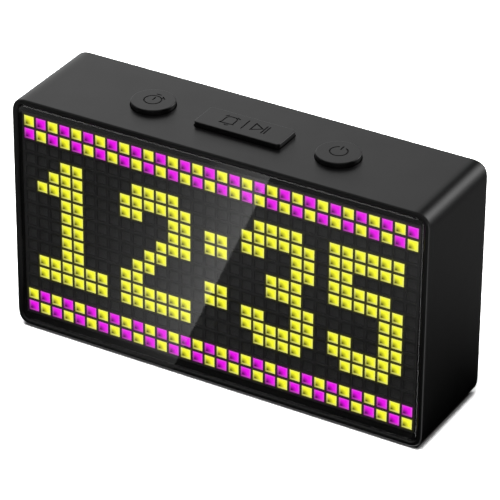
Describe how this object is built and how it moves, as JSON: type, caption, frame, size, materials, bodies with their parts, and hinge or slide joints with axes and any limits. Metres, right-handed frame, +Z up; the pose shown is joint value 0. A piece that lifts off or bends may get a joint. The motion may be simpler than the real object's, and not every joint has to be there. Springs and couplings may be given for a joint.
{
  "type": "pixel clock",
  "caption": "Rounded black desk alarm clock with a smoked front window over a matrix of square lit pixels, press buttons on top and a USB-C inlet at the back.",
  "frame": {"origin": "On the surface it stands on, under the middle of the clock", "axes": "+X is the clock's right seen from its front, the window faces -Y and +Z is up"},
  "size_m": [0.1682, 0.044, 0.0969],
  "materials": {
    "case_black": "fine matte moulded texture",
    "button_black": "satin moulded",
    "smoked_window": "polished smoked acrylic",
    "adhesive": "foam adhesive strip",
    "grid_black": "matte light-tight moulding",
    "milky_lens": "milky translucent moulding",
    "board_green": "solder mask over glass-fibre board",
    "led_white": "LED package",
    "chip_black": "moulded component",
    "screw_steel": "zinc plated",
    "screw_black": "black oxide",
    "ribbon_film": "flat film cable",
    "socket_ivory": "moulded",
    "usb_steel": "drawn steel shell",
    "cell_steel": "plated steel can",
    "foam_black": "closed-cell foam",
    "basket_grey": "pressed steel",
    "cone_paper": "black paper cone",
    "magnet_grey": "ferrite magnet",
    "lead_red": "insulated wire",
    "plunger_ivory": "moulded",
    "foot_rubber": "soft rubber"
  },
  "bodies": {
    "case": {"housing": "case_black", "front_window": "smoked_window", "window_tape": "adhesive", "pixel_grid": "grid_black", "lens_plate": "milky_lens", "led_board": "board_green", "led_chips": "led_white", "led_drivers": "chip_black", "display_screws": "screw_steel", "display_ribbon": "ribbon_film", "button_ribbon": "ribbon_film", "ribbon_sockets": "socket_ivory", "main_board": "board_green", "controller_chip": "chip_black", "board_parts": "chip_black", "main_board_screws": "screw_steel", "usb_socket": "usb_steel", "usb_tongue": "chip_black", "coin_cell_holder": "chip_black", "coin_cell": "cell_steel", "speaker_gasket": "foam_black", "speaker_frame": "basket_grey", "speaker_cone": "cone_paper", "speaker_magnet": "magnet_grey", "speaker_screws": "screw_steel", "speaker_leads": "lead_red", "button_board": "board_green", "switch_bodies": "chip_black", "button_board_screws": "screw_steel", "rear_cover": "case_black", "cover_screws": "screw_black", "feet": "foot_rubber"},
    "timer_key": {"timer_button": "button_black", "timer_plunger": "plunger_ivory"},
    "alarm_key": {"alarm_button": "button_black", "alarm_plunger": "plunger_ivory"},
    "power_key": {"power_button": "button_black", "power_plunger": "plunger_ivory"}
  },
  "joints": [
    {"name": "timer_press", "type": "slide", "parent": "case", "child": "timer_key", "axis": [0, 0, -1], "range_m": [0, 0.0005], "stiffness_N_per_m": 1600, "springref_m": -0.0005},
    {"name": "alarm_press", "type": "slide", "parent": "case", "child": "alarm_key", "axis": [0, 0, -1], "range_m": [0, 0.0005], "stiffness_N_per_m": 1600, "springref_m": -0.0005},
    {"name": "power_press", "type": "slide", "parent": "case", "child": "power_key", "axis": [0, 0, -1], "range_m": [0, 0.0005], "stiffness_N_per_m": 1600, "springref_m": -0.0005}
  ]
}
